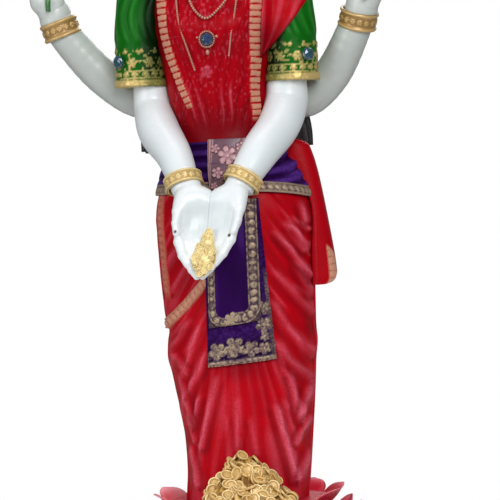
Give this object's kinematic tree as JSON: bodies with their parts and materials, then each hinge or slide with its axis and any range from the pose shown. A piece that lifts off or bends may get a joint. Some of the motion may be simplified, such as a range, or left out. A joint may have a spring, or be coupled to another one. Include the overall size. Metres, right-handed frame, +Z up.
{
  "type": "hindu deity statue",
  "caption": "Standing four-armed goddess statuette in a draped sari, cupped hands pouring coins, raised hands holding lotus flowers, on a round lotus pedestal.",
  "frame": {"origin": "centre of the felt pad's underside, which rests on the shelf", "axes": "+Z up; the figure faces -Y; its own right hands are towards -X"},
  "size_m": [0.1332, 0.0882, 0.305],
  "materials": {
    "white_resin": "white marble-look cast resin, semi-gloss",
    "red_cloth": "hand-painted crimson over cast folds, pink dry-brushed ridges",
    "green_cloth": "hand-painted emerald green, gloss",
    "purple_cloth": "hand-painted deep purple with mauve-gold relief borders",
    "gold_paint": "antique gold paint, soft metallic",
    "hair_black": "black paint over combed strands, satin",
    "lotus_pink": "rose-red petals fading to pale pink tips",
    "leaf_green": "green painted stems, satin",
    "blue_stone": "blue foil-backed acrylic stone, high gloss",
    "red_stone": "red foil-backed acrylic stone, high gloss",
    "felt": "green felt, matt",
    "steel_pin": "plain drawn wire"
  },
  "bodies": {
    "root": {"base_pin": "steel_pin", "belt_ornament": "gold_paint", "choker": "gold_paint", "coin_handful": "gold_paint", "coin_heap": "gold_paint", "crown": "gold_paint", "crown_pin": "steel_pin", "crown_stone": "red_stone", "earring_left": "gold_paint", "earring_right": "gold_paint", "felt_pad": "felt", "flower_stem_left": "leaf_green", "flower_stem_right": "leaf_green", "front_arm_left": "white_resin", "front_arm_pin_left": "steel_pin", "front_arm_pin_right": "steel_pin", "front_arm_right": "white_resin", "front_bangle_left": "gold_paint", "front_bangle_right": "gold_paint", "front_hand_left": "white_resin", "front_hand_right": "white_resin", "hair": "hair_black", "head": "white_resin", "long_necklace": "gold_paint", "lotus_flower_left": "lotus_pink", "lotus_flower_right": "lotus_pink", "lotus_pedestal": "lotus_pink", "neck_pin": "steel_pin", "pendant": "gold_paint", "pendant_stone": "blue_stone", "plinth": "gold_paint", "rear_arm_left": "white_resin", "rear_arm_pin_left": "steel_pin", "rear_arm_pin_right": "steel_pin", "rear_arm_right": "white_resin", "rear_bangle_left": "gold_paint", "rear_bangle_right": "gold_paint", "rear_sleeve_left": "green_cloth", "rear_sleeve_right": "green_cloth", "sari_tail": "red_cloth", "sash_panel_back": "purple_cloth", "sash_panel_front": "purple_cloth", "shoulder_drape": "red_cloth", "skirt": "red_cloth", "sleeve_left": "green_cloth", "sleeve_right": "green_cloth", "sleeve_stone_left": "blue_stone", "sleeve_stone_right": "blue_stone", "torso": "red_cloth", "waist_pin": "steel_pin", "waist_sash": "purple_cloth"}
  },
  "joints": []
}
